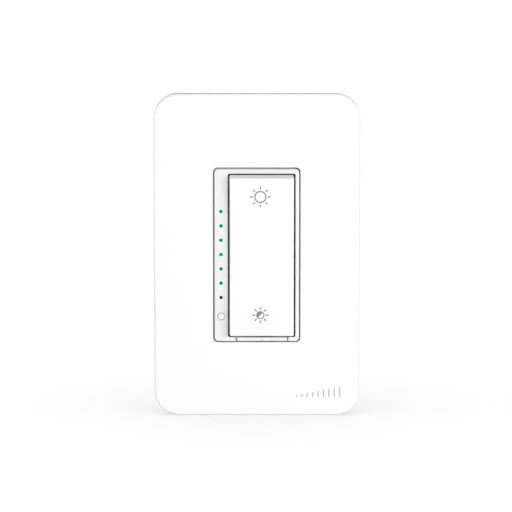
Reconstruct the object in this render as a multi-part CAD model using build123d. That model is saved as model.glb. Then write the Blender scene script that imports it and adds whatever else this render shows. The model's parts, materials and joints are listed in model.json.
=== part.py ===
from build123d import *
import math
import os

# In-wall rocker dimmer with a screwless plate, in millimetres.
# X is to the right as seen from the room, Z is up, and +Y goes into the wall.
# The origin is on the wall surface, midway between the two wall-box screws.

# ---- driving dimensions ----
PLATE_W = 79.0
PLATE_H = 124.0
PLATE_DEPTH = 6.0
PLATE_CORNER = 9.6
PLATE_WALL = 1.6
PLATE_EDGE = 1.1
OPENING_W = 33.4
OPENING_H = 67.1
OPENING_CORNER = 1.7
COLLAR_WALL = 1.2

YOKE_T = 1.5
SHEET_T = 1.6
BOX_SCREW_PITCH = 83.3
PLATE_SCREW_PITCH = 96.8
BODY_W = 43.5
BODY_H = 70.0
BODY_DEPTH = 33.5
BODY_WALL = 1.6

FIT = 0.05
PLATE_GAP = 0.5
PADDLE_X = (-10.35, 14.15)
PADDLE_HALF_H = 30.75
PADDLE_GAP = 0.7
PADDLE_CORNER = 0.6
PADDLE_FACE_MID_Y = -8.4
PADDLE_FACE_DIP = 1.2
ROCK_DEG = 2.0
PIN_R = 1.0
PIN_Y = -4.2
LIGHT_X = -13.7
LIGHT_TOP_Z = 16.8
LIGHT_PITCH = 5.5
LEVEL_COUNT = 6
BUTTON_Z = -23.5
TAB_PULL = 3.5

# ---- planes along Y that follow from them ----
YOKE_FRONT = -YOKE_T
FLANGE_FRONT = YOKE_FRONT - SHEET_T
FRAME_FRONT = -6.8
FRAME_WALL = 1.6
FRAME_W = OPENING_W - 2 * PLATE_GAP
FRAME_H = OPENING_H - 2 * PLATE_GAP
PLATE_INNER_Y = PLATE_WALL - PLATE_DEPTH
BOARD_Y = (1.2, 2.4)
POWER_Y = (12.0, 13.6)
BODY_INNER_Y = BODY_DEPTH - BODY_WALL

# ---- places that several pieces share ----
PADDLE_MID_X = sum(PADDLE_X) / 2
HOLE_X = (PADDLE_X[0] - PADDLE_GAP, PADDLE_X[1] + PADDLE_GAP)
HOLE_Z = (-PADDLE_HALF_H - 0.8, PADDLE_HALF_H + 0.5)
SCREW_CORNERS = [(sx * 18.6, sz * 32.5) for sx in (-1, 1) for sz in (-1, 1)]
SWITCH_Z = 22.0
SPRING_Z = 12.0
PLUNGER_TOP = -3.2
STATUS_Z = LIGHT_TOP_Z - LEVEL_COUNT * LIGHT_PITCH
LEVEL_Z = [LIGHT_TOP_Z - LIGHT_PITCH * i for i in range(LEVEL_COUNT)]
FIN_X = (16.0, 17.5)
TRIAC_Z = (-21.0, -11.0)
TRIAC_SCREW_Y = 28.4
TERMINAL_Y = 17.0
TERMINAL_Z = (6.0, 20.0)
BAY_FLOOR_X = 17.75
GROUND_AT = (8.6, -39.2)
FACE_R = (PADDLE_HALF_H**2 + PADDLE_FACE_DIP**2) / (2 * PADDLE_FACE_DIP)


# ---- helpers ----
def block(x, y, z):
    """A box between two corners, each axis given as (low, high)."""
    size = [abs(b - a) for a, b in (x, y, z)]
    centre = [(a + b) / 2 for a, b in (x, y, z)]
    return Pos(*centre) * Box(*size)


def slab(w, h, r, y, centre=(0.0, 0.0)):
    """A plate that faces -Y, with corners rounded about Y."""
    plane = Plane(origin=(centre[0], y[1], centre[1]), x_dir=(1, 0, 0), z_dir=(0, -1, 0))
    return extrude(plane * RectangleRounded(w, h, r), y[1] - y[0])


def rod_y(r, x, z, y):
    """A cylinder along Y."""
    return Pos(x, (y[0] + y[1]) / 2, z) * Rot(90, 0, 0) * Cylinder(r, y[1] - y[0])


def rod_x(r, y, z, x):
    """A cylinder along X."""
    return Pos((x[0] + x[1]) / 2, y, z) * Rot(0, 90, 0) * Cylinder(r, abs(x[1] - x[0]))


def cone_y(r_front, r_back, x, z, y):
    """A cone along Y, from one radius at its front to another at its back."""
    return Pos(x, (y[0] + y[1]) / 2, z) * Rot(90, 0, 0) * Cone(r_back, r_front, y[1] - y[0])


def side(s, low, high):
    """A stretch of X on the left (s = -1) or right (s = 1) side."""
    return tuple(sorted((s * low, s * high)))


def outer_front_edges(shape):
    return shape.faces().sort_by(Axis.Y)[0].outer_wire().edges()


def face_y(z):
    """Y of the paddle's hollow front at a height: an arc that is deepest at its middle."""
    return PADDLE_FACE_MID_Y - (FACE_R - math.sqrt(FACE_R**2 - z**2))


def group(solids):
    return Compound(children=[solid for item in solids for solid in item.solids()])


def save(name, shape):
    export_step(shape, f"parts/{name}.step")


# ---- wall plate ----
def cover_plate():
    inner_w = PLATE_W - 2 * PLATE_WALL
    inner_h = PLATE_H - 2 * PLATE_WALL
    plate = slab(PLATE_W, PLATE_H, PLATE_CORNER, (-PLATE_DEPTH, 0))
    plate = fillet(outer_front_edges(plate), PLATE_EDGE)
    plate -= slab(inner_w, inner_h, PLATE_CORNER - PLATE_WALL, (PLATE_INNER_Y, 1))
    back_y = FLANGE_FRONT - 0.2
    collar_w = OPENING_W + 2 * COLLAR_WALL
    collar_h = OPENING_H + 2 * COLLAR_WALL
    rib_y = (PLATE_INNER_Y - 0.2, back_y)
    plate += slab(collar_w, collar_h, OPENING_CORNER + COLLAR_WALL, rib_y)
    for s in (-1, 1):
        for z in (-22, 0, 22):
            plate += block(side(s, collar_w / 2 - 0.5, inner_w / 2 + 0.2), rib_y, (z - 0.5, z + 0.5))
        for x in (-19, 19):
            plate += block((x - 0.5, x + 0.5), rib_y, side(s, 34, inner_h / 2 + 0.2))
    plate -= slab(OPENING_W, OPENING_H, OPENING_CORNER, (-PLATE_DEPTH - 1, 1))
    pry_slot = block((-4, 4), (-0.9, 1), (-PLATE_H / 2 - 1, -PLATE_H / 2 + PLATE_WALL + 0.5))
    plate -= pry_slot
    opening_rim = [
        edge
        for edge in plate.faces().sort_by(Axis.Y)[0].edges()
        if abs(edge.center().X) < OPENING_W / 2 + 0.1 and abs(edge.center().Z) < OPENING_H / 2 + 0.1
    ]
    return fillet(opening_rim, 0.25)


BRACKET_W = 74.5
BRACKET_H = 119.5
HEAD_NOTCH_HALF_W = 4.2
HEAD_NOTCH_END_Z = 45.05
PLATE_SCREW_HEAD_R = 2.9
PLATE_SCREW_R = 1.7


def plate_bracket():
    front = FLANGE_FRONT
    bracket = slab(BRACKET_W, BRACKET_H, 7.0, (front, YOKE_FRONT))
    rim = slab(BRACKET_W, BRACKET_H, 7.0, (front, 0)) - slab(
        BRACKET_W - 3.2, BRACKET_H - 3.2, 5.4, (front - 1, 1)
    )
    bracket += rim
    bracket -= slab(44, 72, 2.0, (front - 1, 1))
    notch_h = 20.0
    for s in (-1, 1):
        notch_z = s * (HEAD_NOTCH_END_Z - notch_h / 2)
        bracket -= slab(2 * HEAD_NOTCH_HALF_W, notch_h, 1.5, (front - 1, 1), (0, notch_z))
        z = s * PLATE_SCREW_PITCH / 2
        bracket -= rod_y(PLATE_SCREW_R + 0.1, 0, z, (front - 1, 1))
        bracket -= cone_y(PLATE_SCREW_HEAD_R + FIT, PLATE_SCREW_R + 0.1, 0, z, (front, front + 1.2))
        for x in (-27.5, 27.5):
            bracket -= slab(9, 26, 4.4, (front - 1, 0.5), (x, s * 20))
            bracket -= slab(18, 7, 3.4, (front - 1, 0.5), (x * 0.86, s * 49))
    bump_r = 0.6
    wall_x = PLATE_W / 2 - PLATE_WALL - FIT
    wall_z = PLATE_H / 2 - PLATE_WALL - FIT
    for s in (-1, 1):
        for z in (-30, 30):
            bracket += Pos(s * (wall_x - bump_r), -1.5, z) * Cylinder(bump_r, 12)
        for x in (-18, 18):
            bracket += rod_x(bump_r, -1.5, s * (wall_z - bump_r), (x - 5, x + 5))
    return bracket


def countersunk_screw(z):
    front = FLANGE_FRONT
    cone_back = front + 1.2
    screw = cone_y(PLATE_SCREW_HEAD_R, PLATE_SCREW_R, 0, z, (front, cone_back))
    screw += rod_y(PLATE_SCREW_R, 0, z, (cone_back, 3.6))
    screw += cone_y(PLATE_SCREW_R, 1.1, 0, z, (3.6, 4.2))
    slot = block((-4, 4), (front - 1, front + 0.6), (z - 0.4, z + 0.4))
    return screw - slot


# ---- yoke and its fasteners ----
YOKE_HALF_H = 53.2
EAR_W = 24.0
WINDOW_HALF_W = 16.0
WINDOW_HALF_H = 33.4
SLOT_W = 6.8
SLOT_H = 3.8
FIN_Z = (-29.0, -4.0)
FIN_END_Y = 31.4


def yoke():
    sheet = (YOKE_FRONT, 0)
    strap = slab(44, 72, 2.0, sheet)
    strap += slab(EAR_W, 2 * YOKE_HALF_H, 4.0, sheet)
    strap -= slab(2 * WINDOW_HALF_W, 2 * WINDOW_HALF_H, 1.0, (YOKE_FRONT - 1, 1))
    for s in (-1, 1):
        strap -= slab(SLOT_W, SLOT_H, SLOT_H / 2 - 0.01, (YOKE_FRONT - 1, 1), (0, s * BOX_SCREW_PITCH / 2))
        strap -= rod_y(PLATE_SCREW_R + 0.1, 0, s * PLATE_SCREW_PITCH / 2, (YOKE_FRONT - 1, 1))
    for x, z in SCREW_CORNERS:
        strap -= rod_y(1.4, x, z, (YOKE_FRONT - 1, 1))
    strap -= rod_y(1.65, *GROUND_AT, (YOKE_FRONT - 1, 1))
    fin = block(FIN_X, (YOKE_FRONT, FIN_END_Y), FIN_Z)
    corner_edges = fin.edges().filter_by(Axis.X).sort_by(Axis.Y)[-2:]
    fin = fillet(corner_edges, 2.0)
    fin -= rod_x(1.45, TRIAC_SCREW_Y, sum(TRIAC_Z) / 2, (FIN_X[0] - 1, FIN_X[1] + 1))
    return strap + fin


DEVICE_HEAD_R = 3.2
DEVICE_NECK_R = 1.4
DEVICE_THREAD_R = 1.75
RETAINER_T = 0.5
DEVICE_THREAD_END = 22.0


def device_screw(z):
    under_head = YOKE_FRONT - RETAINER_T
    top = under_head - 1.9
    head = rod_y(DEVICE_HEAD_R, 0, z, (top, under_head))
    head = fillet(outer_front_edges(head), 0.8)
    cross_deep = (top - 1, top + 1.0)
    head -= block((-2.0, 2.0), cross_deep, (z - 0.4, z + 0.4))
    head -= block((-0.4, 0.4), cross_deep, (z - 2.0, z + 2.0))
    screw = head + rod_y(DEVICE_NECK_R, 0, z, (under_head, 0))
    screw += rod_y(DEVICE_THREAD_R, 0, z, (0, DEVICE_THREAD_END))
    tip = (DEVICE_THREAD_END, DEVICE_THREAD_END + 1.2)
    return screw + cone_y(DEVICE_THREAD_R, 1.0, 0, z, tip)


def screw_retainer(z):
    y = (YOKE_FRONT - RETAINER_T, YOKE_FRONT)
    washer = slab(2 * (HEAD_NOTCH_HALF_W - 0.3), 6.4, 1.4, y, (0, z))
    return washer - rod_y(DEVICE_NECK_R + 0.1, 0, z, (y[0] - 1, 1))


def ground_screw():
    head_y = (0.0, 2.0)
    head = rod_y(2.9, *GROUND_AT, head_y)
    head = chamfer(head.faces().sort_by(Axis.Y)[-1].edges(), 0.4)
    x, z = GROUND_AT
    head -= block((x - 4, x + 4), (1.1, 3.0), (z - 0.45, z + 0.45))
    return head + rod_y(1.6, x, z, (YOKE_FRONT + 0.05, 0))


# ---- front frame ----
LIGHT_SLOT_X = (-14.8, -12.15)
LEVEL_HOLE_R = 0.7
STATUS_HOLE_R = 0.65
BUTTON_HOLE_R = 1.45
BUTTON_POCKET_R = 1.9
TAB_X = (-7.65, 11.65)
TAB_Z = (-32.95, -31.65)
TAB_GAP = 0.5
TAB_NOTCH_FLOOR = -4.2
STEM_X = (-2.0, 6.0)
STEM_Z = (-32.75, -31.6)


def front_frame():
    back = YOKE_FRONT
    through = (FRAME_FRONT - 1, back + 1)
    frame = slab(FRAME_W, FRAME_H, 1.5, (FRAME_FRONT, back))
    frame = fillet(outer_front_edges(frame), 0.35)
    frame += slab(42.5, 70.5, 2.0, (FLANGE_FRONT, back))
    hole_w = HOLE_X[1] - HOLE_X[0]
    hole_mid = (sum(HOLE_X) / 2, sum(HOLE_Z) / 2)
    frame -= slab(hole_w, HOLE_Z[1] - HOLE_Z[0], PADDLE_CORNER + 0.15, through, hole_mid)
    inner_front = FRAME_FRONT + FRAME_WALL
    frame -= block(LIGHT_SLOT_X, (inner_front, back + 1), (-31, 31))
    frame -= rod_y(BUTTON_POCKET_R, LIGHT_X, BUTTON_Z, (inner_front, back + 1))
    frame -= rod_y(BUTTON_HOLE_R, LIGHT_X, BUTTON_Z, through)
    for z in LEVEL_Z:
        frame -= rod_y(LEVEL_HOLE_R, LIGHT_X, z, through)
    frame -= rod_y(STATUS_HOLE_R, LIGHT_X, STATUS_Z, through)
    bottom = (-FRAME_H / 2 - FIT, HOLE_Z[0] + FIT)
    frame -= block((TAB_X[0] - TAB_GAP, TAB_X[1] + TAB_GAP), (FRAME_FRONT - 1, TAB_NOTCH_FLOOR), bottom)
    frame -= block((STEM_X[0] - 0.3, STEM_X[1] + 0.3), (TAB_NOTCH_FLOOR - 1, back + 1), bottom)
    frame -= rod_x(PIN_R + 0.02, PIN_Y, 0, (-FRAME_W / 2 - 1, 15.75))
    leg_y = (back - 0.2, BOARD_Y[0])
    for s in (-1, 1):
        leg_z = side(s, 26, 30)
        frame += block((HOLE_X[0] - 1.1, HOLE_X[0]), leg_y, leg_z)
        frame += block((HOLE_X[1], HOLE_X[1] + 1.1), leg_y, leg_z)
    for x, z in SCREW_CORNERS:
        frame -= rod_y(1.25, x, z, (FLANGE_FRONT - 1, back + 1))
    return frame


# ---- paddle ----
PADDLE_BACK_Y = -4.0
BEVEL_START_Y = -6.9
BEVEL_Z = PADDLE_HALF_H - 1.3
PADDLE_WALL = 1.6
LUG_R = 2.2
LUG_W = 1.7
FOOT_R = 1.8


def paddle_profile(x, half_h, bevel_z, shoulder_y, back_y, inset):
    """The paddle's side outline at X = x: flat back, top bevel and a hollow arc in front."""
    top_y = face_y(bevel_z) + inset
    low_y = face_y(half_h) + inset
    outline = [
        Line((x, back_y, half_h), (x, shoulder_y, half_h)),
        Line((x, shoulder_y, half_h), (x, top_y, bevel_z)),
        ThreePointArc((x, top_y, bevel_z), (x, PADDLE_FACE_MID_Y + inset, 0), (x, low_y, -half_h)),
        Line((x, low_y, -half_h), (x, back_y, -half_h)),
        Line((x, back_y, -half_h), (x, back_y, half_h)),
    ]
    return make_face(outline)


def paddle_shell():
    width = PADDLE_X[1] - PADDLE_X[0]
    outline = paddle_profile(PADDLE_X[0], PADDLE_HALF_H, BEVEL_Z, BEVEL_START_Y, PADDLE_BACK_Y, 0)
    body = extrude(outline, width, dir=(1, 0, 0))
    body &= slab(width, 2 * PADDLE_HALF_H, PADDLE_CORNER, (-12, 0), (PADDLE_MID_X, 0))
    front = body.faces().filter_by(GeomType.CYLINDER).sort_by(SortBy.AREA)[-1]
    top_line = front.edges().sort_by(Axis.Z)[-1]
    body = fillet([edge for edge in front.edges() if edge.center().Z < top_line.center().Z - 0.5], 0.45)
    inner_half = PADDLE_HALF_H - PADDLE_WALL
    inner_x = PADDLE_X[0] + PADDLE_WALL
    hollow = paddle_profile(inner_x, inner_half, inner_half - 1.3, -5.6, 0, PADDLE_WALL)
    return body - extrude(hollow, width - 2 * PADDLE_WALL, dir=(1, 0, 0))


def paddle():
    shell = paddle_shell()
    inner_x = (PADDLE_X[0] + PADDLE_WALL - 0.2, PADDLE_X[1] - PADDLE_WALL + 0.2)
    for z in (-17.5, -6.0, 6.0, 17.5):
        shell += block(inner_x, (face_y(z) + 1.0, -5.6), (z - 0.5, z + 0.5))
    for s in (-1, 1):
        foot_end = PLUNGER_TOP - (SWITCH_Z + FOOT_R) * math.sin(math.radians(ROCK_DEG)) - 0.06
        shell += rod_y(FOOT_R, PADDLE_MID_X, s * SWITCH_Z, (face_y(SWITCH_Z) + 1.0, foot_end))
        shell += rod_y(1.5, PADDLE_MID_X, s * SPRING_Z, (face_y(SPRING_Z) + 1.0, -5.7))
    shell += rod_x(LUG_R, PIN_Y, 0, (PADDLE_X[0], PADDLE_X[0] + LUG_W))
    shell += rod_x(LUG_R, PIN_Y, 0, (PADDLE_X[1] - LUG_W, PADDLE_X[1]))
    return shell - rod_x(PIN_R + FIT, PIN_Y, 0, (PADDLE_X[0] - 1, PADDLE_X[1] + 1))


def pivot_pin():
    return rod_x(PIN_R, PIN_Y, 0, (-12.0, 15.65))


def return_spring(z):
    wire_r = 0.25
    coil_r = 2.0
    low_y = face_y(SPRING_Z) + PADDLE_WALL + 0.1 + wire_r
    high_y = BOARD_Y[0] - FIT - wire_r
    turns = 5
    height = high_y - low_y
    path = Helix(pitch=height / turns, height=height, radius=coil_r)
    start = Plane(origin=path @ 0, z_dir=path % 0)
    coil = sweep(start * Circle(wire_r), path=path, is_frenet=True)
    return Pos(PADDLE_MID_X, low_y, z) * Rot(-90, 0, 0) * coil


# ---- switches, button and lights ----
def tact_housing(z):
    y = (-2.3, BOARD_Y[0])
    x = (PADDLE_MID_X - 3, PADDLE_MID_X + 3)
    housing = block(x, y, (z - 3, z + 3))
    housing = chamfer(housing.edges().filter_by(Axis.Y), 0.5)
    housing -= rod_y(1.7 + FIT, PADDLE_MID_X, z, (y[0] - 1, -0.9))
    pin_y = (BOARD_Y[0] - 0.3, BOARD_Y[0])
    for s in (-1, 1):
        pin_x = tuple(sorted((PADDLE_MID_X + s * 2.9, PADDLE_MID_X + s * 3.9)))
        for pin_z in (z - 2.2, z + 2.2):
            housing += block(pin_x, pin_y, (pin_z - 0.35, pin_z + 0.35))
    return housing


def tact_plunger(z):
    plunger = rod_y(1.7, PADDLE_MID_X, z, (PLUNGER_TOP, -1.3))
    return fillet(outer_front_edges(plunger), 0.2)


SETUP_PLUNGER_TOP = -1.6


def setup_switch():
    housing = block((LIGHT_X - 1.8, LIGHT_X + 1.8), (-1.0, BOARD_Y[0]), (BUTTON_Z - 1.8, BUTTON_Z + 1.8))
    housing = chamfer(housing.edges().filter_by(Axis.Y), 0.3)
    return housing - rod_y(0.85, LIGHT_X, BUTTON_Z, (-2, -0.1))


def setup_plunger():
    return rod_y(0.8, LIGHT_X, BUTTON_Z, (SETUP_PLUNGER_TOP, -0.5))


def setup_button():
    wall_back = FRAME_FRONT + FRAME_WALL
    cap = rod_y(BUTTON_HOLE_R - 0.15, LIGHT_X, BUTTON_Z, (FRAME_FRONT - 0.08, wall_back + 0.2))
    cap = fillet(outer_front_edges(cap), 0.2)
    cap += rod_y(BUTTON_POCKET_R - 0.2, LIGHT_X, BUTTON_Z, (wall_back + 0.1, wall_back + 0.7))
    return cap + rod_y(0.8, LIGHT_X, BUTTON_Z, (wall_back + 0.6, SETUP_PLUNGER_TOP))


GUIDE_R = 0.75


def light_pipe(heights, window_r):
    """Round windows on one bar, with a rod from each back to its lamp."""
    bar_y = (-4.9, -3.9)
    bar_z = (min(heights) - 1.1, max(heights) + 1.1)
    pipe = block((-14.5, -12.4), bar_y, bar_z)
    for z in heights:
        pipe += rod_y(window_r, LIGHT_X, z, (FRAME_FRONT, bar_y[0]))
        pipe += rod_y(GUIDE_R, LIGHT_X, z, (bar_y[1], 0.3))
    return pipe


def lamp(z):
    return block((LIGHT_X - 0.8, LIGHT_X + 0.8), (0.4, BOARD_Y[0]), (z - 0.6, z + 0.6))


# ---- air-gap tab ----
def air_gap_tab():
    y = (FRAME_FRONT, TAB_NOTCH_FLOOR - 0.1)
    head = block(TAB_X, y, TAB_Z)
    head = fillet(outer_front_edges(head), 0.2)
    mid_x = sum(TAB_X) / 2
    head -= block((mid_x - 0.2, mid_x + 0.2), (y[0] - 1, y[0] + 0.8), (TAB_Z[0] - 1, TAB_Z[1] + 1))
    nail_z = sum(TAB_Z) / 2
    for x in (mid_x - 4.8, mid_x + 4.8):
        head -= rod_x(0.5, y[0] + 1.2, TAB_Z[0] - 0.1, (x - 2.2, x + 2.2))
        head -= slab(3.6, 0.45, 0.2, (y[0] - 1, y[0] + 0.3), (x, nail_z))
    head += block(STEM_X, (y[1] - 0.2, 8.0), STEM_Z)
    wing_front = YOKE_FRONT + TAB_PULL + FIT
    return head + block((-4.5, 8.5), (wing_front, wing_front + 1.5), STEM_Z)


BRIDGE_Y = (8.0, 8.6)
BRIDGE_X = (-3.0, 7.0)


def air_gap_bridge():
    return block(BRIDGE_X, BRIDGE_Y, STEM_Z)


def air_gap_contact(x):
    touch_y = (BRIDGE_Y[1] + FIT, BRIDGE_Y[1] + 0.6)
    strip = block(x, touch_y, (STEM_Z[0], -29.4))
    return strip + block(x, (touch_y[0], POWER_Y[0]), (-29.9, -29.4))


# ---- electronics ----
BOARD_X = (-15.6, 15.4)


def control_board():
    board = block(BOARD_X, BOARD_Y, (-30.8, 32.0))
    return fillet(board.edges().filter_by(Axis.Y), 1.0)


def power_board():
    board = block((-15.4, 15.4), POWER_Y, (-31.0, 31.0))
    return fillet(board.edges().filter_by(Axis.Y), 1.0)


RADIO_Y = (2.4, 3.2)
SHIELD_BACK = 5.4
SHIELD_T = 0.25


def radio_board():
    return block((-12, 4), RADIO_Y, (5, 25))


def radio_shield():
    x = (-11.0, 3.0)
    z = (5.8, 19.0)
    can = block(x, (RADIO_Y[1], SHIELD_BACK), z)
    can = fillet(can.faces().sort_by(Axis.Y)[-1].edges(), 0.3)
    inside_x = (x[0] + SHIELD_T, x[1] - SHIELD_T)
    inside_z = (z[0] + SHIELD_T, z[1] - SHIELD_T)
    return can - block(inside_x, (RADIO_Y[1] - 1, SHIELD_BACK - SHIELD_T), inside_z)


PIN_PITCH = 2.54
HEADER_PINS = [(i - 2.5) * PIN_PITCH for i in range(6)]
HEADER_Z = -25.0


def header_pin(x, y):
    return block((x - 0.32, x + 0.32), y, (HEADER_Z - 0.32, HEADER_Z + 0.32))


def header_body():
    body = block((-7.8, 7.8), (BOARD_Y[1], BOARD_Y[1] + 2.5), (HEADER_Z - 1.25, HEADER_Z + 1.25))
    for x in HEADER_PINS:
        body -= header_pin(x, (BOARD_Y[1] - 1, POWER_Y[0]))
    return body


def board_spacer(x, z):
    y = (BOARD_Y[1], POWER_Y[0])
    return rod_y(1.9, x, z, y) - rod_y(1.0, x, z, (y[0] - 1, y[1] + 1))


TAB_BACK_X = FIN_X[0] - 0.2


def triac():
    y = (17.0, 31.2)
    mid_z = sum(TRIAC_Z) / 2
    plate = block((TAB_BACK_X - 1.3, TAB_BACK_X), y, TRIAC_Z)
    plate -= rod_x(1.6, TRIAC_SCREW_Y, mid_z, (TAB_BACK_X - 3, TAB_BACK_X + 1))
    case = block((TAB_BACK_X - 4.5, TAB_BACK_X - 1.3), (y[0], 25.5), TRIAC_Z)
    case = chamfer(case.faces().sort_by(Axis.X)[0].edges(), 0.4)
    plate += case
    for i in (-1, 0, 1):
        lead_z = (mid_z + i * PIN_PITCH - 0.4, mid_z + i * PIN_PITCH + 0.4)
        plate += block((TAB_BACK_X - 2.8, TAB_BACK_X - 2.2), (POWER_Y[1], y[0]), lead_z)
    return plate


def triac_pad():
    pad = block((TAB_BACK_X, FIN_X[0]), (16.5, 31.2), (TRIAC_Z[0] - 0.5, TRIAC_Z[1] + 0.5))
    return pad - rod_x(1.6, TRIAC_SCREW_Y, sum(TRIAC_Z) / 2, (TAB_BACK_X - 1, FIN_X[0] + 1))


def triac_screw():
    z = sum(TRIAC_Z) / 2
    head_x = (TAB_BACK_X - 3.1, TAB_BACK_X - 1.3)
    head = rod_x(2.6, TRIAC_SCREW_Y, z, head_x)
    slot_y = (TRIAC_SCREW_Y - 3, TRIAC_SCREW_Y + 3)
    head -= block((head_x[0] - 1, head_x[0] + 0.8), slot_y, (z - 0.35, z + 0.35))
    return head + rod_x(1.4, TRIAC_SCREW_Y, z, (head_x[1], 19.2))


CHOKE_AT = (-6.0, -12.0)
CHOKE_Y = (14.5, 21.5)
CHOKE_R = (3.8, 7.0)
CHOKE_WIRE = 0.75
CHOKE_TURNS = 18


def choke_core():
    x, z = CHOKE_AT
    core = rod_y(CHOKE_R[1], x, z, CHOKE_Y)
    return core - rod_y(CHOKE_R[0], x, z, (CHOKE_Y[0] - 1, CHOKE_Y[1] + 1))


def choke_turn(angle):
    near = CHOKE_R[0] - FIT
    far = CHOKE_R[1] + FIT
    front = CHOKE_Y[0] - FIT
    back = CHOKE_Y[1] + FIT
    half = CHOKE_WIRE / 2
    w = CHOKE_WIRE
    loop = block((near - w, far + w), (front - w, back + w), (-half, half))
    loop -= block((near, far), (front, back), (-1, 1))
    return Pos(CHOKE_AT[0], 0, CHOKE_AT[1]) * Rot(0, angle, 0) * loop


def choke_winding():
    return group([choke_turn(300 * i / (CHOKE_TURNS - 1)) for i in range(CHOKE_TURNS)])


def film_capacitor():
    case = block((-14, 4), (POWER_Y[1], 27), (-30, -22))
    return fillet(case.edges(), 0.6)


def bulk_capacitor():
    can = rod_y(5.0, 8, 20, (POWER_Y[1], 29.6))
    can = fillet(can.edges().filter_by(GeomType.CIRCLE), 0.5)
    band = (27.4, 28.2)
    ring = rod_y(6.0, 8, 20, band) - rod_y(4.7, 8, 20, band)
    return can - ring


def varistor():
    disc = Pos(8.5, 20.5, 3) * Cylinder(5.4, 4)
    disc = fillet(disc.edges().filter_by(GeomType.CIRCLE), 1.2)
    for x in (6.0, 11.0):
        disc += rod_y(0.4, x, 3, (POWER_Y[1], 17))
    return disc


def fuse():
    y = 17.0
    z = 3.0
    tube = rod_x(2.4, y, z, (-14, -2))
    for x in ((-14, -11.5), (-4.5, -2)):
        tube += rod_x(2.7, y, z, x)
    for x in (-13, -3):
        tube += rod_y(0.4, x, z, (POWER_Y[1], y))
    return tube


CORE_X = (-14.0, 0.0)
CORE_Y = (POWER_Y[1], 25.6)
CORE_Z = (11.0, 23.0)
CORE_WINDOW_Y = (16.0, 23.2)
CORE_LEG_X = (-9.0, -5.0)


def transformer_core():
    core = block(CORE_X, CORE_Y, CORE_Z)
    for x in ((CORE_X[0] + 2, CORE_LEG_X[0]), (CORE_LEG_X[1], CORE_X[1] - 2)):
        core -= block(x, CORE_WINDOW_Y, (CORE_Z[0] - 1, CORE_Z[1] + 1))
    return core


def transformer_winding():
    y = (CORE_WINDOW_Y[0] + 0.1, CORE_WINDOW_Y[1] - 0.1)
    coil = block((CORE_X[0] + 2.1, CORE_X[1] - 2.1), y, (CORE_Z[0] - 2.2, CORE_Z[1] + 2.2))
    coil = fillet(coil.edges().filter_by(Axis.Y), 1.5)
    leg_x = (CORE_LEG_X[0] - 0.1, CORE_LEG_X[1] + 0.1)
    return coil - block(leg_x, (y[0] - 1, y[1] + 1), (CORE_Z[0] - 0.1, CORE_Z[1] + 0.1))


# ---- terminals and back housing ----
CLAMP_T = 1.25
BAY_Y = (9.0, 25.0)
BAY_Z = (-1.0, 27.0)
BAY_SHELL = 1.5
WIRE_X = 19.2
WIRE_R = 1.5


def terminal_clamp(s, z):
    clamp = block(side(s, BAY_FLOOR_X, BAY_FLOOR_X + CLAMP_T), (11.5, 23.5), (z - 4.2, z + 4.2))
    clamp = fillet(clamp.edges().filter_by(Axis.X), 0.8)
    return clamp - rod_x(1.65, TERMINAL_Y, z, side(s, BAY_FLOOR_X - 1, BAY_FLOOR_X + 3))


def terminal_screw(s, z):
    head_x = side(s, BAY_FLOOR_X + CLAMP_T, BAY_FLOOR_X + CLAMP_T + 1.9)
    head = rod_x(3.3, TERMINAL_Y, z, head_x)
    outer = head.faces().sort_by(Axis.X)[-1 if s > 0 else 0]
    head = chamfer(outer.edges(), 0.35)
    slot_x = side(s, BAY_FLOOR_X + CLAMP_T + 1.0, BAY_FLOOR_X + 5)
    head -= block(slot_x, (TERMINAL_Y - 4, TERMINAL_Y + 4), (z - 0.45, z + 0.45))
    return head + rod_x(1.6, TERMINAL_Y, z, side(s, 16.7, BAY_FLOOR_X + CLAMP_T))


HOUSING_HEAD_R = 2.3
COLUMN_R = 2.8


def back_housing():
    outer = slab(BODY_W, BODY_H, 2.5, (0, BODY_DEPTH))
    outer = fillet(outer.faces().sort_by(Axis.Y)[-1].edges(), 0.8)
    inner = slab(BODY_W - 2 * BODY_WALL, BODY_H - 2 * BODY_WALL, 1.5, (-1, BODY_INNER_Y))
    housing = outer - inner
    half_w = BODY_W / 2
    columns = [rod_y(COLUMN_R, x, z, (0, BODY_DEPTH - 1)) for x, z in SCREW_CORNERS]
    bays = [
        block(
            side(s, BAY_FLOOR_X - BAY_SHELL, half_w),
            (BAY_Y[0] - BAY_SHELL, BODY_DEPTH - 1),
            (BAY_Z[0] - BAY_SHELL, BAY_Z[1] + BAY_SHELL),
        )
        for s in (-1, 1)
    ]
    for solid in columns + bays:
        housing += solid & outer
    for s in (-1, 1):
        housing -= block(side(s, BAY_FLOOR_X, half_w + 1), BAY_Y, BAY_Z)
        for z in TERMINAL_Z:
            housing -= rod_x(1.65, TERMINAL_Y, z, side(s, 16.7, BAY_FLOOR_X + 1))
            housing -= rod_y(WIRE_R, s * WIRE_X, z, (BAY_Y[1] - 1, BODY_DEPTH + 1))
    for x, z in SCREW_CORNERS:
        housing -= rod_y(1.35, x, z, (-1, BODY_DEPTH))
        housing -= rod_y(HOUSING_HEAD_R + 0.2, x, z, (BODY_DEPTH - 2.0, BODY_DEPTH + 1))
    housing -= slab(26, 30, 1.5, (BODY_DEPTH - 0.3, BODY_DEPTH + 1), (0, 8))
    housing -= slab(12, 2.2, 1.0, (BODY_DEPTH - 0.5, BODY_DEPTH + 1), (0, -22))
    return housing


def housing_screw(x, z):
    head_y = (BODY_DEPTH - 2.0, BODY_DEPTH - 0.4)
    head = rod_y(HOUSING_HEAD_R, x, z, head_y)
    cross_y = (head_y[1] - 0.9, head_y[1] + 1)
    head -= block((x - 1.4, x + 1.4), cross_y, (z - 0.3, z + 0.3))
    head -= block((x - 0.3, x + 0.3), cross_y, (z - 1.4, z + 1.4))
    return head + rod_y(1.15, x, z, (FLANGE_FRONT + 0.2, head_y[0]))


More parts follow.
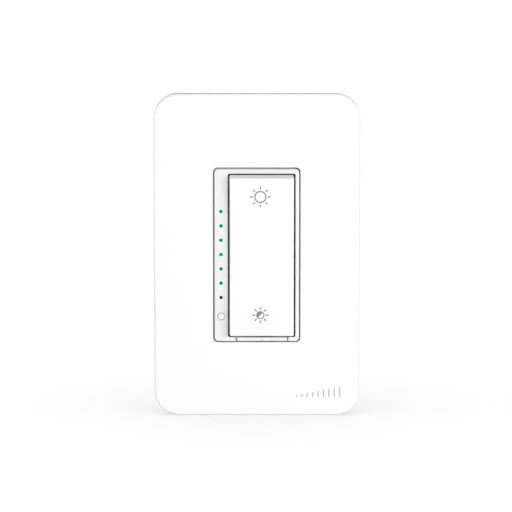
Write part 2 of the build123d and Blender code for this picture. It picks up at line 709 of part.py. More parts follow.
# ---- every piece, by its file name ----
os.makedirs("parts", exist_ok=True)
ends = (-1, 1)

save("cover_plate", cover_plate())
save("plate_bracket", plate_bracket())
save("plate_screws", group([countersunk_screw(s * PLATE_SCREW_PITCH / 2) for s in ends]))
save("yoke", yoke())
save("device_screws", group([device_screw(s * BOX_SCREW_PITCH / 2) for s in ends]))
save("screw_retainers", group([screw_retainer(s * BOX_SCREW_PITCH / 2) for s in ends]))
save("ground_screw", ground_screw())
save("front_frame", front_frame())
save("paddle", paddle())
save("pivot_pin", pivot_pin())
save("return_spring_upper", return_spring(SPRING_Z))
save("return_spring_lower", return_spring(-SPRING_Z))
save("brighten_switch", tact_housing(SWITCH_Z))
save("brighten_plunger", tact_plunger(SWITCH_Z))
save("dim_switch", tact_housing(-SWITCH_Z))
save("dim_plunger", tact_plunger(-SWITCH_Z))
save("setup_switch", setup_switch())
save("setup_plunger", setup_plunger())
save("setup_button", setup_button())
save("level_light_pipe", light_pipe(LEVEL_Z, LEVEL_HOLE_R - FIT))
save("status_light_pipe", light_pipe([STATUS_Z], STATUS_HOLE_R - FIT))
save("level_leds", group([lamp(z) for z in LEVEL_Z]))
save("status_led", lamp(STATUS_Z))
save("air_gap_tab", air_gap_tab())
save("air_gap_bridge", air_gap_bridge())
save("air_gap_contacts", group([air_gap_contact((-3.0, -0.6)), air_gap_contact((4.6, 7.0))]))
save("control_board", control_board())
save("power_board", power_board())
save("radio_board", radio_board())
save("radio_shield", radio_shield())
save("header_body", header_body())
save("header_pins", group([header_pin(x, (BOARD_Y[1], POWER_Y[0])) for x in HEADER_PINS]))
save("board_spacers", group([board_spacer(x, z) for x in (-12.5, 12.5) for z in (-28, 28)]))
save("triac", triac())
save("triac_pad", triac_pad())
save("triac_screw", triac_screw())
save("choke_core", choke_core())
save("choke_winding", choke_winding())
save("film_capacitor", film_capacitor())
save("bulk_capacitor", bulk_capacitor())
save("varistor", varistor())
save("fuse", fuse())
save("transformer_core", transformer_core())
save("transformer_winding", transformer_winding())
save("terminal_clamps", group([terminal_clamp(s, z) for s in ends for z in TERMINAL_Z]))
save("terminal_screws", group([terminal_screw(s, z) for s in ends for z in TERMINAL_Z]))
save("back_housing", back_housing())
save("housing_screws", group([housing_screw(x, z) for x, z in SCREW_CORNERS]))
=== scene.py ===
import json
import math

import bmesh
import bpy
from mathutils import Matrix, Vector
from mathutils.bvhtree import BVHTree


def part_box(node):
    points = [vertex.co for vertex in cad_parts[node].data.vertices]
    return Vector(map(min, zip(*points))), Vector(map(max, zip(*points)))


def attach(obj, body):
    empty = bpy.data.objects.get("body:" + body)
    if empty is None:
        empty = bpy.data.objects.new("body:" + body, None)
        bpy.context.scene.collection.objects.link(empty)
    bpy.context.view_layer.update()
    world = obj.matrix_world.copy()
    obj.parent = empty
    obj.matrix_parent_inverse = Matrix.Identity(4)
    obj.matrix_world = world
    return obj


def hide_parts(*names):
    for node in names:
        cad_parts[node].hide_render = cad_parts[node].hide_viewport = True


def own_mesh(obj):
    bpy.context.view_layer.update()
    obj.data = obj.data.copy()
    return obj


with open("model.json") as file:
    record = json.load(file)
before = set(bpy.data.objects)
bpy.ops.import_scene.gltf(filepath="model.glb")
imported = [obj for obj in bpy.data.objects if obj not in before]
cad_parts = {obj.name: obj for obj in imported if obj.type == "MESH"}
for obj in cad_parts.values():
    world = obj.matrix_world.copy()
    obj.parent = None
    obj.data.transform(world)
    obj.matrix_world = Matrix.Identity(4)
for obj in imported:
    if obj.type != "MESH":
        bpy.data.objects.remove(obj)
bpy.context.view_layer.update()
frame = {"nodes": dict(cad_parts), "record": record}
MM = 0.001

# ---- places taken from the frame ----
PLATE_LOW, PLATE_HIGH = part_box("cover_plate")
PADDLE_LOW, PADDLE_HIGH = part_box("paddle")
SLOT_OF = {part["node"]: part["material_slot"] for part in frame["record"]["subparts"]}
COLOUR_OF = {entry["slot"]: tuple(entry["base_color"]) for entry in frame["record"]["materials"]}
FLOOR_Z = PLATE_LOW.z


# ---- materials: small node helpers ----
class Shader:
    """A material with one Principled shader, and short calls that feed its sockets."""

    def __init__(self, name):
        self.material = bpy.data.materials.new(name)
        self.material.use_nodes = True
        self.tree = self.material.node_tree
        self.surface = self.tree.nodes["Principled BSDF"]
        self.place = self.tree.nodes.new("ShaderNodeTexCoord").outputs["Object"]

    def node(self, kind, **inputs):
        made = self.tree.nodes.new(kind)
        for key, value in inputs.items():
            self.feed(made.inputs[key.replace("_", " ")], value)
        return made

    def feed(self, socket, value):
        if isinstance(value, bpy.types.NodeSocket):
            self.tree.links.new(value, socket)
        else:
            socket.default_value = value

    def set(self, **inputs):
        for key, value in inputs.items():
            self.feed(self.surface.inputs[key.replace("_", " ")], value)

    def math(self, operation, *values):
        made = self.tree.nodes.new("ShaderNodeMath")
        made.operation = operation
        for socket, value in zip(made.inputs, values):
            self.feed(socket, value)
        return made.outputs["Value"]

    def axis(self, letter):
        return self.node("ShaderNodeSeparateXYZ", Vector=self.place).outputs[letter]

    def stretched(self, scale):
        """Object coordinates in metres, multiplied along each axis."""
        return self.node("ShaderNodeMapping", Vector=self.place, Scale=scale).outputs["Vector"]

    def noise(self, per_metre, detail=3.0, rough=0.5, vector=None):
        made = self.node("ShaderNodeTexNoise", Vector=vector or self.place)
        made.inputs["Scale"].default_value = per_metre
        made.inputs["Detail"].default_value = detail
        made.inputs["Roughness"].default_value = rough
        return made.outputs["Fac"]

    def ramp(self, value, start, end, low, high):
        made = self.node("ShaderNodeMapRange", Value=value)
        made.inputs["From Min"].default_value = start
        made.inputs["From Max"].default_value = end
        made.inputs["To Min"].default_value = low
        made.inputs["To Max"].default_value = high
        return made.outputs["Result"]

    def spread(self, value, low, high):
        """The 0.3 to 0.7 that noise mostly gives, spread over low to high."""
        return self.ramp(value, 0.3, 0.7, low, high)

    def blend(self, factor, first, second):
        made = self.tree.nodes.new("ShaderNodeMix")
        made.data_type = "RGBA"
        self.feed(made.inputs[0], factor)
        self.feed(made.inputs[6], (*first, 1.0) if isinstance(first, tuple) else first)
        self.feed(made.inputs[7], (*second, 1.0) if isinstance(second, tuple) else second)
        return made.outputs[2]

    def bump(self, height, distance, strength=0.4, edge=0.1 * MM):
        """Relief on the surface, over edges that are eased by the edge radius."""
        eased = self.node("ShaderNodeBevel", Radius=edge)
        eased.samples = 4
        made = self.node("ShaderNodeBump", Height=height, Normal=eased.outputs["Normal"])
        made.inputs["Strength"].default_value = strength
        made.inputs["Distance"].default_value = distance
        self.set(Normal=made.outputs["Normal"])


# ---- materials: the two families, and the values that they share ----
WHITE = (0.8, 0.8, 0.8)
# painted shade: the frame's and button's white is a darker copy of WHITE, set so that the frame's strip
# reads as shaded
FRAME_SHADED_WHITE = (0.72, 0.72, 0.72)
# painted shade: the grey that the cover's flanks take, so that its edge reads darker than its face
FLANK_PAINTED_SHADE = (0.58, 0.58, 0.58)
BRACKET_WHITE = (0.7, 0.7, 0.685)
PIN_GREY = (0.02, 0.02, 0.022)

# what the grain of a metal is stretched by: a small factor draws it out along that axis
UP = (1.0, 1.0, 0.04)
ALONG_Y = (1.0, 0.04, 1.0)
EVEN = (1.0, 1.0, 1.0)


def shade(rgb, factor):
    return tuple(min(1.0, c * factor) for c in rgb)


def moulded(slot, rough, grain, depth, rgb=None, drift=0.015, sheen_drift=0.05):
    """Moulded plastic: spark-eroded grain, gloss that drifts, and a trace of flow shading."""
    rgb = rgb or COLOUR_OF[slot]
    s = Shader(slot)
    flow = s.spread(s.noise(45.0, 2.0), 0.0, 1.0)
    s.set(Base_Color=s.blend(flow, shade(rgb, 1.0 - drift), rgb))
    s.set(Roughness=s.spread(s.noise(420.0, 4.0), rough - sheen_drift, rough + sheen_drift))
    s.set(Specular_IOR_Level=0.45)
    s.bump(s.noise(grain, 2.0, 0.6), depth)
    return s


def metal(slot, rough, lay, grain, depth, rgb=None, tarnish=0.84, tint=(1.0, 1.0, 1.0)):
    """Rolled, drawn or plated metal: fine lines along the axis that lay draws out, and clouds."""
    rgb = rgb or COLOUR_OF[slot]
    s = Shader(slot)
    lines = s.noise(grain, 3.0, 0.6, s.stretched(lay))
    dull = tuple(c * tarnish * t for c, t in zip(rgb, tint))
    s.set(Base_Color=s.blend(s.spread(s.noise(260.0, 4.0), 0.0, 1.0), dull, rgb))
    s.set(Metallic=1.0, Roughness=s.spread(lines, rough - 0.08, rough + 0.12))
    s.bump(lines, depth)
    return s


# ---- materials: one function for each that needs more than a family gives ----
# where the painted shade on the cover's flanks starts, and where it is full
FACE_DEPTH = 0.1 * MM
FLANK_DEPTH = 0.5 * MM


def cover_plastic():
    """The cover's white plastic, with painted shade on its flanks: their colour is greyer than the
    face's, so that the edge reads as shaded.
    """
    s = moulded("plate_white", 0.42, 9000.0, 0.004 * MM, WHITE, 0.01, 0.02)
    face = s.surface.inputs["Base Color"].links[0].from_socket
    # painted shade: the colour greys from the face back over the flanks, by depth
    depth = s.ramp(s.axis("Y"), PLATE_LOW.y + FACE_DEPTH, PLATE_LOW.y + FLANK_DEPTH, 0.0, 1.0)
    s.set(Base_Color=s.blend(depth, face, FLANK_PAINTED_SHADE))
    return s


# painted glow on the frame round the lit windows: its colours, how much of them, and how far they reach
LEVEL_LAMPS = 6
LEVEL_GLOW = (0.42, 1.0, 0.68)
LEVEL_GLOW_SHARE = 0.75
LEVEL_REACH = 1.5 * MM
STATUS_GLOW = (1.0, 0.62, 0.72)
STATUS_GLOW_SHARE = 0.5
STATUS_REACH = 1.2 * MM
GLOW_WINDOW_R = 0.8 * MM
GLOW_END = 1.1 * MM
GLOW_RIM = 0.6 * MM


def painted_window_glow(s, low, high, lamps, radius):
    """How near a point of the frame is to a lit window, as the mask of the painted glow: 1 at the
    window's rim, 0 past the radius.
    """
    mid_x = low.x + GLOW_WINDOW_R
    across = s.math("SUBTRACT", s.axis("X"), mid_x)
    first = low.z + GLOW_END
    last = high.z - GLOW_END
    pitch = (last - first) / max(1, lamps - 1)
    held = s.math("MAXIMUM", s.math("MINIMUM", s.axis("Z"), last), first)
    step = s.math("ROUND", s.math("DIVIDE", s.math("SUBTRACT", held, first), max(pitch, MM)))
    nearest = s.math("ADD", s.math("MULTIPLY", step, pitch), first)
    along = s.math("SUBTRACT", s.axis("Z"), nearest)
    squares = s.math("ADD", s.math("POWER", across, 2.0), s.math("POWER", along, 2.0))
    return s.ramp(s.math("SQRT", squares), GLOW_RIM, radius, 1.0, 0.0)


def frame_with_painted_glow():
    """The frame's white plastic, with a painted glow: its colour is tinted round each window where the
    windows' light would fall.
    """
    s = moulded("frame_white", 0.38, 9000.0, 0.004 * MM, FRAME_SHADED_WHITE, 0.01, 0.02)
    plain = s.surface.inputs["Base Color"].links[0].from_socket
    green = painted_window_glow(s, *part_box("level_light_pipe"), LEVEL_LAMPS, LEVEL_REACH)
    red = painted_window_glow(s, *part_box("status_light_pipe"), 1, STATUS_REACH)
    tinted = s.blend(s.math("MULTIPLY", green, LEVEL_GLOW_SHARE), plain, LEVEL_GLOW)
    s.set(Base_Color=s.blend(s.math("MULTIPLY", red, STATUS_GLOW_SHARE), tinted, STATUS_GLOW))
    return s


def window(slot, rgb, glow, strength):
    """A round end of a light pipe, which shines a little and has a fine moulded texture."""
    s = Shader(slot)
    cloud = s.spread(s.noise(1400.0, 2.0), 0.0, 1.0)
    s.set(Base_Color=s.blend(cloud, shade(rgb, 0.85), rgb), Roughness=0.28)
    s.set(Emission_Color=s.blend(cloud, shade(glow, 0.85), glow), Emission_Strength=strength)
    s.set(Specular_IOR_Level=0.15)
    s.bump(s.noise(5000.0, 2.0), 0.004 * MM)
    return s


def solder_mask():
    """Green mask over copper: pours that show lighter, with gaps between them."""
    rgb = (0.008, 0.025, 0.014)
    s = Shader("board_green")
    flat = s.node("ShaderNodeCombineXYZ", X=s.axis("X"), Y=s.axis("Z")).outputs["Vector"]
    bricks = s.node("ShaderNodeTexBrick", Vector=flat)
    bricks.inputs["Scale"].default_value = 240.0
    bricks.inputs["Mortar Size"].default_value = 0.05
    gap = bricks.outputs["Fac"]
    s.set(Base_Color=s.blend(gap, shade(rgb, 1.5), shade(rgb, 0.7)))
    s.set(Roughness=s.spread(s.noise(900.0), 0.22, 0.36), Coat_Weight=0.3)
    s.bump(s.math("SUBTRACT", 1.0, gap), 0.03 * MM, 0.6)
    return s


def sintered():
    """Pressed and fired ferrite: dark, matt and speckled."""
    rgb = COLOUR_OF["ferrite"]
    s = Shader("ferrite")
    speck = s.spread(s.noise(3800.0, 4.0, 0.7), 0.0, 1.0)
    s.set(Base_Color=s.blend(speck, shade(rgb, 0.6), shade(rgb, 1.25)))
    s.set(Roughness=s.spread(s.noise(1200.0), 0.5, 0.7))
    s.bump(speck, 0.02 * MM)
    return s


def enamelled():
    """Lacquered wire: clear amber over copper, deeper between the turns."""
    rgb = COLOUR_OF["copper_enamel"]
    s = Shader("copper_enamel")
    pull = s.noise(2600.0, 2.0, 0.5, s.stretched((1.0, 1.0, 6.0)))
    s.set(Base_Color=s.blend(s.spread(pull, 0.0, 1.0), shade(rgb, 0.7), shade(rgb, 1.15)))
    s.set(Metallic=0.75, Roughness=s.spread(pull, 0.2, 0.34), Coat_Weight=0.6)
    s.bump(pull, 0.01 * MM)
    return s


def dipped(slot, ripple):
    """Dip-coated epoxy or lacquer, with the slow ripple that dipping leaves."""
    s = moulded(slot, 0.3, 900.0, ripple, drift=0.12)
    s.set(Coat_Weight=0.4, Coat_Roughness=0.12)
    return s


def clear_epoxy():
    """The moulded lens of a lamp."""
    s = Shader("lamp_epoxy")
    rgb = COLOUR_OF["lamp_epoxy"]
    s.set(Base_Color=s.blend(s.spread(s.noise(2500.0), 0.0, 1.0), shade(rgb, 0.8), rgb))
    s.set(Roughness=0.15, Transmission_Weight=0.3)
    s.bump(s.noise(3000.0), 0.005 * MM)
    return s


def printed(name, rgb):
    """Pad-printed ink: matt, and a little uneven in how dense it lies."""
    s = Shader(name)
    cover = s.spread(s.noise(2600.0, 4.0, 0.6), 0.0, 1.0)
    s.set(Base_Color=s.blend(cover, shade(rgb, 1.12), rgb))
    s.set(Roughness=s.spread(s.noise(1500.0), 0.5, 0.66))
    s.bump(cover, 0.005 * MM)
    return s


def make_looks():
    """One shader for each of the record's slots, by its name."""
    shaders = [
        cover_plastic(),
        frame_with_painted_glow(),
        moulded("paddle_white", 0.33, 11000.0, 0.002 * MM, WHITE, 0.008, 0.01),
        moulded("button_white", 0.28, 9000.0, 0.003 * MM, FRAME_SHADED_WHITE),
        moulded("bracket_white", 0.55, 3600.0, 0.02 * MM, BRACKET_WHITE),
        metal("yoke_metal", 0.36, UP, 5200.0, 0.008 * MM, tint=(0.97, 1.0, 1.04)),
        metal("screw_steel", 0.26, EVEN, 2600.0, 0.006 * MM, tint=(1.03, 1.0, 0.92)),
        moulded("retainer_plastic", 0.6, 2400.0, 0.02 * MM, drift=0.08),
        metal("ground_green", 0.33, EVEN, 2600.0, 0.006 * MM, tarnish=0.7),
        window("level_window", (0.001, 0.14, 0.025), (0.0, 0.5, 0.09), 0.35),
        window("status_window", (0.05, 0.001, 0.006), (0.5, 0.0, 0.05), 0.1),
        clear_epoxy(),
        moulded("housing_grey", 0.5, 3200.0, 0.03 * MM, drift=0.1),
        metal("brass", 0.3, ALONG_Y, 3600.0, 0.008 * MM, tint=(1.0, 0.94, 0.8)),
        metal("copper", 0.3, ALONG_Y, 3600.0, 0.008 * MM, tint=(0.96, 0.9, 0.86)),
        enamelled(),
        solder_mask(),
        moulded("component_black", 0.55, 5200.0, 0.02 * MM, drift=0.2),
        moulded("switch_black", 0.45, 6000.0, 0.01 * MM, drift=0.15),
        moulded("plunger_white", 0.4, 6000.0, 0.01 * MM, drift=0.04),
        metal("spring_steel", 0.28, EVEN, 4200.0, 0.005 * MM),
        metal("tin_shield", 0.38, UP, 4200.0, 0.008 * MM, tarnish=0.9),
        sintered(),
        moulded("film_yellow", 0.32, 4200.0, 0.01 * MM, drift=0.08),
        dipped("sleeve_blue", 0.02 * MM),
        dipped("varistor_blue", 0.06 * MM),
        moulded("fuse_ceramic", 0.5, 3600.0, 0.015 * MM, drift=0.06),
        moulded("pad_grey", 0.7, 2600.0, 0.02 * MM, drift=0.08),
    ]
    return {s.material.name: s.material for s in shaders}


def clear_imported_materials():
    for obj in frame["nodes"].values():
        obj.data.materials.clear()
    for material in list(bpy.data.materials):
        bpy.data.materials.remove(material)


def dress_nodes(looks):
    """Each node gets its slot's material, but the pin is dark with oil and not bright steel."""
    oiled = metal("oiled_pin_steel", 0.45, EVEN, 2600.0, 0.006 * MM, PIN_GREY).material
    for name, obj in frame["nodes"].items():
        obj.data.materials.append(oiled if name == "pivot_pin" else looks[SLOT_OF[name]])


# ---- thin printed marks, as closed slabs seated in the surface behind them ----
PROUD = 0.05 * MM
SEAT = 0.05 * MM


def front_of(node):
    """A function that gives the y of a node's front surface at (x, z)."""
    tree = BVHTree.FromObject(frame["nodes"][node], bpy.context.evaluated_depsgraph_get())
    ahead = PADDLE_LOW.y - 10 * MM

    def front(x, z):
        return tree.ray_cast(Vector((x, ahead, z)), Vector((0.0, 1.0, 0.0)))[0].y

    return front


def skin(bm, rings, closed):
    """Quads from each ring of vertices to the next, and end faces if the row of rings is open."""
    following = rings[1:] + rings[:1] if closed else rings[1:]
    for ring, beyond in zip(rings, following):
        count = len(ring)
        for i in range(count):
            j = (i + 1) % count
            bm.faces.new((ring[i], ring[j], beyond[j], beyond[i]))
    if not closed:
        bm.faces.new(rings[0])
        bm.faces.new(rings[-1][::-1])


def add_bar(bm, stations, front, closed=False):
    """A slab whose two edges pass through the pairs of (x, z) points in stations."""
    rings = []
    for (xa, za), (xb, zb) in stations:
        ya, yb = front(xa, za), front(xb, zb)
        ring = [(xa, ya - PROUD, za), (xb, yb - PROUD, zb), (xb, yb + SEAT, zb), (xa, ya + SEAT, za)]
        rings.append([bm.verts.new(corner) for corner in ring])
    skin(bm, rings, closed)


def ring_stations(x, z, r, stroke, steps=56):
    stations = []
    for k in range(steps):
        angle = math.tau * k / steps
        dx, dz = math.cos(angle), math.sin(angle)
        radii = (r - stroke / 2, r + stroke / 2)
        stations.append([(x + dx * radius, z + dz * radius) for radius in radii])
    return stations


def stroke_stations(start, end, width, steps=5):
    """A straight stroke with round ends."""
    along = (Vector(end) - Vector(start)).normalized()
    across = Vector((-along.y, along.x))
    half = width / 2
    spots = []
    for k in range(1, steps + 1):
        angle = math.pi / 2 * k / steps
        spots.append((half * (1 - math.cos(angle)), half * math.sin(angle)))
    length = (Vector(end) - Vector(start)).length
    spots += [(length - distance, reach) for distance, reach in reversed(spots)]
    stations = []
    for distance, reach in spots:
        middle = Vector(start) + along * distance
        stations.append([tuple(middle - across * reach), tuple(middle + across * reach)])
    return stations


def half_disc_stations(x, z, r, turn, steps=12):
    """Half a disc on the side that turn points to, as chords from its middle to its edge."""
    away = Vector((math.cos(turn), math.sin(turn)))
    across = Vector((-away.y, away.x))
    stations = []
    for k in range(steps):
        angle = math.pi / 2 * k / steps
        middle = Vector((x, z)) + away * (r * math.sin(angle))
        reach = across * (r * math.cos(angle))
        stations.append([tuple(middle - reach), tuple(middle + reach)])
    return stations


def finish_piece(name, bm, body, slot, material):
    bmesh.ops.recalc_face_normals(bm, faces=bm.faces)
    mesh = bpy.data.meshes.new(name)
    bm.to_mesh(mesh)
    bm.free()
    piece = bpy.data.objects.new(name, mesh)
    bpy.context.scene.collection.objects.link(piece)
    mesh.materials.append(material)
    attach(piece, body)
    return piece


# ---- the paddle's two symbols ----
ICON_GREY = (0.2, 0.2, 0.2)
ICON_X = (PADDLE_LOW.x + PADDLE_HIGH.x) / 2 - 0.52 * MM
RAYS = 8
BRIGHT_Z = 0.729 * PADDLE_HIGH.z
BRIGHT_RING = {"r": 2.1 * MM, "stroke": 0.5 * MM}
BRIGHT_RAYS = {"inner": 2.8 * MM, "outer": 3.95 * MM, "width": 0.5 * MM}
DIM_Z = 0.741 * PADDLE_LOW.z
DIM_RING = {"r": 1.35 * MM, "stroke": 0.42 * MM}
DIM_RAYS = {"inner": 1.95 * MM, "outer": 3.15 * MM, "width": 0.48 * MM}
DIM_DISC_R = 1.2 * MM
DIM_DISC_TURN = math.radians(135)


def add_rays(bm, front, x, z, inner, outer, width):
    for k in range(RAYS):
        angle = math.tau * k / RAYS
        dx, dz = math.cos(angle), math.sin(angle)
        ends = [(x + dx * r, z + dz * r) for r in (inner, outer)]
        add_bar(bm, stroke_stations(*ends, width), front)


def add_brighten_icon(front, ink):
    """A sun in outline: raise the light."""
    bm = bmesh.new()
    add_bar(bm, ring_stations(ICON_X, BRIGHT_Z, **BRIGHT_RING), front, True)
    add_rays(bm, front, ICON_X, BRIGHT_Z, **BRIGHT_RAYS)
    finish_piece("brighten_icon", bm, "paddle", "component_black", ink)


def add_dim_icon(front, ink):
    """A smaller sun, half filled: lower the light."""
    bm = bmesh.new()
    add_bar(bm, ring_stations(ICON_X, DIM_Z, **DIM_RING), front, True)
    add_bar(bm, half_disc_stations(ICON_X, DIM_Z, DIM_DISC_R, DIM_DISC_TURN), front)
    add_rays(bm, front, ICON_X, DIM_Z, **DIM_RAYS)
    finish_piece("dim_icon", bm, "paddle", "component_black", ink)


# ---- a generic mark on the plate: a ramp of thin bars, from dim to bright ----
MARK_GREY = (0.36, 0.36, 0.36)
MARK_LEFT = 0.39 * PLATE_HIGH.x
MARK_RIGHT = 0.81 * PLATE_HIGH.x
MARK_FOOT = 0.885 * PLATE_LOW.z
MARK_BARS = 9
MARK_HEIGHTS = (0.9 * MM, 3.9 * MM)
MARK_STROKE = 0.45 * MM


def add_ramp_mark(front, ink):
    bm = bmesh.new()
    for k in range(MARK_BARS):
        part = k / (MARK_BARS - 1)
        x = MARK_LEFT + (MARK_RIGHT - MARK_LEFT) * part
        height = MARK_HEIGHTS[0] + (MARK_HEIGHTS[1] - MARK_HEIGHTS[0]) * part
        add_bar(bm, stroke_stations((x, MARK_FOOT), (x, MARK_FOOT + height), MARK_STROKE), front)
    finish_piece("level_ramp_mark", bm, "cover", "component_black", ink)


# ---- device screws: the modelled heads with a real thread on the shanks ----
THREAD_PITCH = 25.4 * MM / 32
THREAD_DEPTH = 0.42 * MM
THREAD_FLAT = 0.1
THREAD_R = 1.75 * MM
THREAD_TIP_R = 1.0 * MM
THREAD_LEAST_R = 0.7 * MM
THREAD_TAPER = 1.2 * MM
THREAD_SIDES = 40
THREAD_STEPS = 12
HEAD_CUT_Y = 0.2 * MM


def thread_radius(y, angle, start, end):
    """A vee thread with flat crests and roots, which fades in at the neck, over a tapered tip."""
    phase = (y / THREAD_PITCH - angle / math.tau) % 1.0
    flank = (abs(2.0 * phase - 1.0) - THREAD_FLAT) / (1.0 - 2.0 * THREAD_FLAT)
    cut = THREAD_DEPTH * min(1.0, max(0.0, flank))
    cut *= min(1.0, (y - start) / THREAD_PITCH)
    to_tip = max(0.0, (y - (end - THREAD_TAPER)) / THREAD_TAPER)
    return max(THREAD_LEAST_R, THREAD_R - cut - to_tip * (THREAD_R - THREAD_TIP_R))


def add_thread(bm, z, start, end):
    steps = round((end - start) / THREAD_PITCH * THREAD_STEPS)
    rings = []
    for k in range(steps + 1):
        y = start + (end - start) * k / steps
        ring = []
        for i in range(THREAD_SIDES):
            angle = math.tau * i / THREAD_SIDES
            r = thread_radius(y, angle, start, end)
            ring.append(bm.verts.new((r * math.cos(angle), y, z + r * math.sin(angle))))
        rings.append(ring)
    skin(bm, rings, False)


def add_device_screws(looks):
    """The modelled heads, cut off from their shanks, with threaded shanks that start inside them."""
    low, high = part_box("device_screws")
    bm = bmesh.new()
    bm.from_mesh(frame["nodes"]["device_screws"].data)
    bmesh.ops.remove_doubles(bm, verts=bm.verts, dist=0.001 * MM)
    everything = bm.verts[:] + bm.edges[:] + bm.faces[:]
    cut = bmesh.ops.bisect_plane(
        bm, geom=everything, plane_co=(0.0, HEAD_CUT_Y, 0.0), plane_no=(0.0, 1.0, 0.0), clear_outer=True
    )
    rim = [e for e in cut["geom_cut"] if isinstance(e, bmesh.types.BMEdge)]
    bmesh.ops.holes_fill(bm, edges=rim, sides=0)
    middle = high.z - (high.x - low.x) / 2
    for z in (-middle, middle):
        add_thread(bm, z, 0.0, high.y)
    piece = finish_piece("threaded_device_screws", bm, "device", "screw_steel", looks["screw_steel"])
    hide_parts("device_screws")


def add_return_spring(node, looks):
    """The modelled coil, copied into a piece of its own on the device in place of the node."""
    bm = bmesh.new()
    bm.from_mesh(frame["nodes"][node].data)
    bmesh.ops.remove_doubles(bm, verts=bm.verts, dist=0.001 * MM)
    slot = SLOT_OF[node]
    piece = finish_piece("closing_" + node, bm, "device", slot, looks[slot])
    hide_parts(node)
    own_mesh(piece)


# ---- camera ----
TARGET = Vector((-0.29, -6.0, -0.30)) * MM
DISTANCE = 0.600
ELEVATION = math.radians(4.2)
LENS_MM = 110.0
SENSOR_MM = 36.0


def add_camera():
    data = bpy.data.cameras.new("camera")
    data.lens = LENS_MM
    data.sensor_width = SENSOR_MM
    data.clip_start = 0.01
    camera = bpy.data.objects.new("camera", data)
    bpy.context.scene.collection.objects.link(camera)
    away = Vector((0.0, -math.cos(ELEVATION), math.sin(ELEVATION)))
    camera.location = TARGET + away * DISTANCE
    camera.rotation_euler = (-away).to_track_quat("-Z", "Y").to_euler()
    bpy.context.scene.camera = camera


# ---- studio ----
SKY_SEEN = 1.05
SKY_LOW = 0.2
SKY_HIGH = 0.16
SKY_HIGH_FROM = 0.8
FLOOR_SIZE = 12.0
FLOOR_GREY = (0.25, 0.25, 0.25, 1.0)
FLOOR_GLOW = 0.62
FLOOR_WASH = 4.4
FLOOR_WASH_ANGLE = math.radians(110)
LIGHT_DISTANCE = 1.2

# name, turn and rise in degrees, size in metres, power in watts
LIGHTS = [
    ("key", 40, 6, (1.1, 0.5), 15.2),
    ("left", -45, 10, (0.5, 0.5), 0.8),
    ("left_rim", -88, 10, (0.5, 0.5), 6.8),
    ("back_left", -140, 27, (0.6, 0.5), 4.5),
    ("back_right", 168, 27, (0.6, 0.5), 3.4),
]


def area_light(name, place, size, power):
    """A rectangular light that points at the middle of the object."""
    data = bpy.data.lights.new(name, "AREA")
    data.shape = "RECTANGLE"
    data.size, data.size_y = size
    data.energy = power
    light = bpy.data.objects.new(name, data)
    bpy.context.scene.collection.objects.link(light)
    light.location = place
    light.rotation_euler = (-Vector(place)).to_track_quat("-Z", "Y").to_euler()
    return light


def add_world():
    """A white background. As a light it is faint, and a little fainter overhead."""
    world = bpy.data.worlds.new("studio")
    bpy.context.scene.world = world
    world.use_nodes = True
    tree = world.node_tree
    seen = tree.nodes["Background"]
    seen.inputs["Color"].default_value = (1.0, 1.0, 1.0, 1.0)
    seen.inputs["Strength"].default_value = SKY_SEEN
    lit = tree.nodes.new("ShaderNodeBackground")
    lit.inputs["Color"].default_value = (1.0, 1.0, 1.0, 1.0)
    direction = tree.nodes.new("ShaderNodeTexCoord").outputs["Generated"]
    split = tree.nodes.new("ShaderNodeSeparateXYZ")
    tree.links.new(direction, split.inputs["Vector"])
    fade = tree.nodes.new("ShaderNodeMapRange")
    tree.links.new(split.outputs["Z"], fade.inputs["Value"])
    fade.inputs["From Min"].default_value = 0.0
    fade.inputs["From Max"].default_value = SKY_HIGH_FROM
    fade.inputs["To Min"].default_value = SKY_LOW
    fade.inputs["To Max"].default_value = SKY_HIGH
    tree.links.new(fade.outputs["Result"], lit.inputs["Strength"])
    path = tree.nodes.new("ShaderNodeLightPath")
    mix = tree.nodes.new("ShaderNodeMixShader")
    tree.links.new(path.outputs["Is Camera Ray"], mix.inputs["Fac"])
    tree.links.new(lit.outputs["Background"], mix.inputs[1])
    tree.links.new(seen.outputs["Background"], mix.inputs[2])
    tree.links.new(mix.outputs["Shader"], tree.nodes["World Output"].inputs["Surface"])


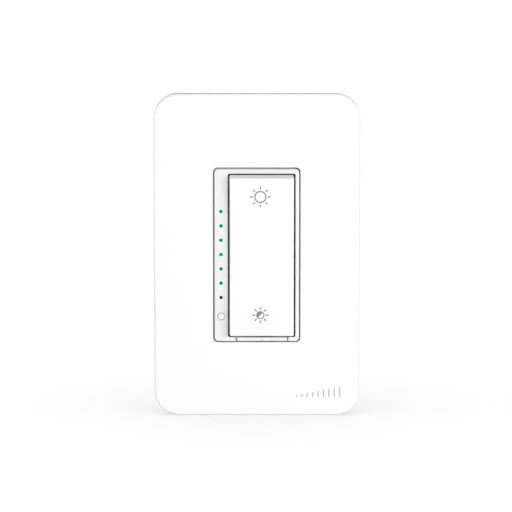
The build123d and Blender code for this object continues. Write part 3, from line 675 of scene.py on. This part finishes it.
def add_floor():
    bpy.ops.mesh.primitive_plane_add(size=FLOOR_SIZE, location=(0.0, 0.0, FLOOR_Z))
    floor = bpy.context.object
    floor.name = "floor"
    s = Shader("floor_white")
    s.set(Base_Color=FLOOR_GREY, Roughness=0.9, Specular_IOR_Level=0.0)
    s.set(Emission_Color=(1.0, 1.0, 1.0, 1.0), Emission_Strength=FLOOR_GLOW)
    floor.data.materials.append(s.material)
    return floor


def around(turn_deg, rise_deg):
    """A place round the object: turn 0 is in front, positive to the right."""
    turn, rise = math.radians(turn_deg), math.radians(rise_deg)
    flat = LIGHT_DISTANCE * math.cos(rise)
    return (flat * math.sin(turn), -flat * math.cos(turn), LIGHT_DISTANCE * math.sin(rise))


def receivers(name, floor, state):
    """A light-linking group: the floor alone (INCLUDE), or everything but the floor (EXCLUDE)."""
    group = bpy.data.collections.new(name)
    group.objects.link(floor)
    group.collection_objects[0].light_linking.link_state = state
    return group


def add_floor_wash(floor):
    """Wide soft light from overhead that falls on the floor alone, so that the object shades it."""
    data = bpy.data.lights.new("floor_wash", "SUN")
    data.energy = FLOOR_WASH
    data.angle = FLOOR_WASH_ANGLE
    wash = bpy.data.objects.new("floor_wash", data)
    bpy.context.scene.collection.objects.link(wash)
    wash.light_linking.receiver_collection = receivers("floor_only", floor, "INCLUDE")


def add_studio():
    add_world()
    floor = add_floor()
    add_floor_wash(floor)
    off_floor = receivers("off_floor", floor, "EXCLUDE")
    for name, turn, rise, size, power in LIGHTS:
        light = area_light(name, around(turn, rise), size, power)
        light.light_linking.receiver_collection = off_floor


# ---- making ----
clear_imported_materials()
add_camera()
add_studio()
looks = make_looks()
dress_nodes(looks)
icon_ink = printed("icon_ink", ICON_GREY).material
mark_ink = printed("mark_ink", MARK_GREY).material
paddle_front = front_of("paddle")
add_brighten_icon(paddle_front, icon_ink)
add_dim_icon(paddle_front, icon_ink)
add_ramp_mark(front_of("cover_plate"), mark_ink)
add_device_screws(looks)
add_return_spring("return_spring_upper", looks)
add_return_spring("return_spring_lower", looks)

scene = bpy.context.scene
scene.view_settings.view_transform = "Standard"
